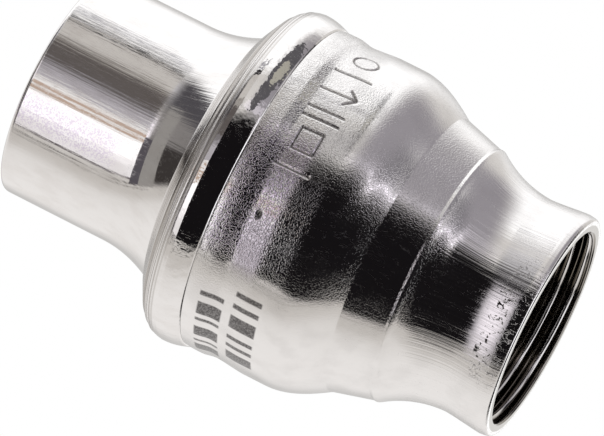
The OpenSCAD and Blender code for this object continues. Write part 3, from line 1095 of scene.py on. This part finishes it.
def environment():
    """A room of light and dark around the valve, seen only in its reflections."""
    world = bpy.data.worlds.new("studio")
    bpy.context.scene.world = world
    world.use_nodes = True
    world.node_tree.nodes.clear()
    n = Tree(world.node_tree)
    x, y, z = n.split(n.add("ShaderNodeTexCoord").outputs["Generated"])
    turn = n.axis_turn(x, y)
    rise = n.times(n.math("ARCSINE", z), 180 / math.pi)

    shade = (1.0, 1.0, 1.0, 1.0)
    for left, right, bottom, top, soft, light in PANELS:
        share = n.times(n.band(turn, left, right, soft), n.band(rise, bottom, top, soft))
        shade = n.mix(share, shade, (*light, 1.0))

    # The dark room widens upwards until its upper corners, which are cut off. A notch cuts into
    # its left side.
    cut = n.math("MAXIMUM", n.math("SUBTRACT", rise, DARK_CORNER), 0.0)
    lean = n.times(rise, DARK_LEAN)
    notch = n.times(n.band(rise, *NOTCH_RISE), NOTCH_DEPTH)
    from_left = n.math("ADD", turn, n.math("SUBTRACT", lean, n.math("ADD", cut, notch)))
    from_right = n.math("ADD", turn, n.math("SUBTRACT", n.times(cut, 1.5), lean))
    edge_light = n.times(n.band(from_left, DARK_LEFT - 8, DARK_LEFT - 2, 1.5),
                        n.ramp(rise, 25, 38, 0.2, 1.0))
    edge_light = n.times(edge_light, n.band(rise, -8, 54, 2))
    shade = n.mix(edge_light, shade, (*EDGE_LIGHT, 1.0))
    left = n.ramp(from_left, DARK_LEFT - 3, DARK_LEFT + 8)
    right = n.ramp(from_right, DARK_RIGHT - 1.5, DARK_RIGHT + 1.5, 1.0, 0.0)
    share = n.times(n.times(left, right),
                   n.band(rise, DARK_BOTTOM, DARK_TOP, 3))
    shade = n.mix(share, shade, (*DARK, 1.0))

    share = n.times(n.band(turn, PALE_LEFT, PALE_RIGHT, 4),
                   n.band(rise, PALE_BOTTOM, PALE_TOP, 2.5))
    shade = n.mix(share, shade, (*PALE, 1.0))

    seen = n.add("ShaderNodeLightPath").outputs["Is Camera Ray"]
    background = n.add("ShaderNodeBackground")
    n.join(n.mix(seen, shade, (1.0, 1.0, 1.0, 1.0)), background.inputs["Color"])
    n.join(background.outputs[0], n.add("ShaderNodeOutputWorld").inputs[0])


def glow(name, light):
    """A material that only shines."""
    material = bpy.data.materials.new(name)
    material.use_nodes = True
    material.node_tree.nodes.clear()
    n = Tree(material.node_tree)
    lamp = n.add("ShaderNodeEmission")
    n.join((*light, 1.0), lamp.inputs["Color"])
    n.join(lamp.outputs[0], n.add("ShaderNodeOutputMaterial").inputs[0])
    return material


def floor_paint():
    """White from above and clear from below."""
    material = glow("floor", (1.0, 1.0, 1.0))
    n = Tree(material.node_tree)
    mix = n.add("ShaderNodeMixShader")
    n.join(n.add("ShaderNodeNewGeometry").outputs["Backfacing"], mix.inputs[0])
    n.join(n.tree.nodes["Emission"].outputs[0], mix.inputs[1])
    n.join(n.add("ShaderNodeBsdfTransparent").outputs[0], mix.inputs[2])
    n.join(mix.outputs[0], n.tree.nodes["Material Output"].inputs[0])
    return material


def reflected(name, points, faces, light):
    """A glowing sheet that is seen only in reflections."""
    mesh = bpy.data.meshes.new(name)
    mesh.from_pydata([tuple(c * MM for c in point) for point in points], [], faces)
    mesh.materials.append(glow(name, light))
    sheet = placed(name, mesh)
    sheet.visible_camera = False
    sheet.visible_diffuse = False


def card(name, left, right, bottom, top, light, distance=100):
    """A curved card in front of the inlet neck, below the chamber's view. Angles as in PANELS."""
    count = 16
    points = [(distance * math.sin(angle), -distance * math.cos(angle), height)
              for angle in np.radians(np.linspace(left, right, count + 1))
              for height in (bottom, top)]
    faces = [(2 * i, 2 * i + 2, 2 * i + 3, 2 * i + 1) for i in range(count)]
    reflected(name, points, faces, light)


def plate(name, middle, half_wide, climb, half_climb, light, nearer=0):
    """An oval sheet for the bead alone. It leans over the valve, so the rest looks past it.

    middle and half_wide are the degrees at which the bead sees it. climb runs from 0 at the
    sheet's low and far edge to 1 at its high and near one.
    """
    rings, spokes = 5, 32
    far, near = 55, 24                       # from the bead to the sheet's two edges
    low_edge, high_edge = CREST_Z + 1.8, CREST_Z + 12.3
    points = []
    for k in range(rings + 1):
        for t in np.linspace(0, 2 * math.pi, spokes + 1)[:-1]:
            turn = math.radians(middle + half_wide * k / rings * math.cos(t))
            rise = climb + half_climb * k / rings * math.sin(t)
            reach = far - (far - near) * rise - nearer
            points.append((BEAD_R * math.sin(turn / 2) + reach * math.sin(turn),
                           -BEAD_R * math.cos(turn / 2) - reach * math.cos(turn),
                           low_edge + (high_edge - low_edge) * rise))
    faces = []
    for k in range(rings):
        for i in range(spokes):
            j = (i + 1) % spokes
            a, b = k * spokes, (k + 1) * spokes
            faces.append((a + i, b + i, b + j, a + j) if k else (a, b + i, b + j))
    reflected(name, points, faces, light)


# Thin lines that cross the cards: name, left and right in degrees, light
LINES = [
    ("tan_line", 6.0, 9.0, (0.60, 0.46, 0.38)),
    ("second_tan_line", 10.6, 13.6, (0.60, 0.46, 0.38)),
    ("pale_edge", 33, 39, (1.16, 1.13, 1.15)),
    ("lower_line", 50.2, 51.8, (0.16, 0.14, 0.15)),
    ("upper_line", -64.5, -59.5, (0.04, 0.037, 0.04)),
    ("brown_fade", -41, -36, (0.40, 0.375, 0.35)),
    ("brown_edge", -38, -36, (0.24, 0.22, 0.21)),
    ("violet_fade", -16, -12, (0.24, 0.225, 0.235)),
    ("violet_edge", -12, -9, (0.38, 0.36, 0.385)),
]


def cards():
    """What the inlet neck and its flare reflect, close to the valve."""
    bottom, top = -40, 5.5
    card("white_card", 15, 36, bottom, top, (1.40, 1.37, 1.39))
    card("pale_card", 36, 51, bottom, top, (1.0, 0.97, 0.985))
    card("striped_card", 1, 15, bottom, top, (0.98, 0.96, 0.95))
    card("violet_card", -14, 1, bottom, top, (0.52, 0.495, 0.53))
    card("brown_card", -36, -14, bottom, top, (0.13, 0.115, 0.11))
    card("grey_card", -61, -36, bottom, top, (0.66, 0.63, 0.60))
    card("dark_card", 8, 56, bottom - 18, bottom, (0.11, 0.10, 0.115))
    card("beige_card", -30, 56, bottom - 60, bottom - 18, (0.34, 0.325, 0.31))
    plate("dark_plate", -73, 34, 0.5, 0.5, (0.12, 0.115, 0.125))
    plate("light_plate", -74, 12, 0.63, 0.25, (0.48, 0.46, 0.40), 3)
    for name, left, right, light in LINES:
        card(name, left, right, bottom, top, light, 99)


def floor():
    half = 3000 * MM
    below = 0.1 * MM
    mesh = bpy.data.meshes.new("floor")
    mesh.from_pydata([(-half, -half, -below), (half, -half, -below), (half, half, -below),
                      (-half, half, -below)], [], [(0, 1, 2, 3)])
    mesh.materials.append(floor_paint())
    pad = placed("floor", mesh)
    pad.visible_glossy = False


studio()
environment()
cards()
floor()
build_inlet_shell()
build_outlet_shell()
build_joint()
build_spider()
build_guide()
build_spring()
build_poppet()
